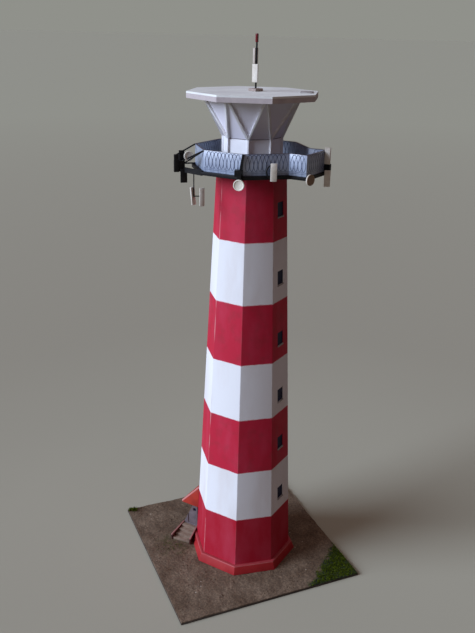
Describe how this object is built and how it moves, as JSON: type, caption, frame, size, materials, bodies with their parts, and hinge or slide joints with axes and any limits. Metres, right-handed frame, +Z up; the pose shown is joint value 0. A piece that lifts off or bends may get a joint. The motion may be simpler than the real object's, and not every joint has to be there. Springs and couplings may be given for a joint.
{
  "type": "scale model lighthouse",
  "caption": "Scale card model of a banded octagonal lighthouse with gallery, flared lantern, aerials, porch and steps on a square base board.",
  "frame": {"origin": "on the tower's axis, on the underside of the base board", "axes": "+Z up along the tower, +X out of the windowed side with the gallery's bay, -Y the way the porch steps run down"},
  "size_m": [0.1396, 0.1396, 0.2712],
  "materials": {
    "red_card": "printed matt card, worn pale at its folds",
    "white_card": "printed matt card, slightly soiled",
    "orange_card": "painted card, orange red",
    "base_card": "greyboard strewn with fine brown sand and green flock",
    "pane_card": "dark blue printed card with a slight sheen",
    "sill_card": "bare pale card edge",
    "door_card": "grey blue printed card",
    "railing_card": "pale blue card printed with a dark interlaced railing",
    "black_card": "card and wire painted matt black",
    "cream_card": "cream card",
    "lamp_red": "dark red bead"
  },
  "bodies": {
    "root": {"aerial_frame": "black_card", "base_board": "base_card", "bay_aerials": "cream_card", "bay_dish": "cream_card", "bay_pole": "black_card", "bay_walls": "railing_card", "cone_ribs": "white_card", "corner_dish": "cream_card", "corner_post": "black_card", "door_pane": "pane_card", "drum_ribs": "white_card", "frame_aerials": "black_card", "frame_dish": "cream_card", "gallery_floor": "black_card", "hanging_aerials": "cream_card", "hanging_rod": "black_card", "lantern_cone": "white_card", "lantern_drum": "white_card", "mast_base": "cream_card", "mast_lamp": "lamp_red", "mast_lower_aerial": "cream_card", "mast_rod": "black_card", "mast_upper_aerial": "cream_card", "parapet": "railing_card", "plinth": "orange_card", "porch_door": "door_card", "porch_gables": "orange_card", "porch_roof": "red_card", "porch_walls": "door_card", "roof_hatch": "door_card", "roof_plate": "white_card", "roof_rim": "white_card", "shaft_band_1": "red_card", "shaft_band_2": "white_card", "shaft_band_3": "red_card", "shaft_band_4": "white_card", "shaft_band_5": "red_card", "shaft_band_6": "white_card", "shaft_band_7": "red_card", "side_aerial": "cream_card", "side_bracket": "black_card", "step_stringers": "orange_card", "step_treads": "cream_card", "window_panes": "pane_card", "window_sills": "sill_card"}
  },
  "joints": []
}
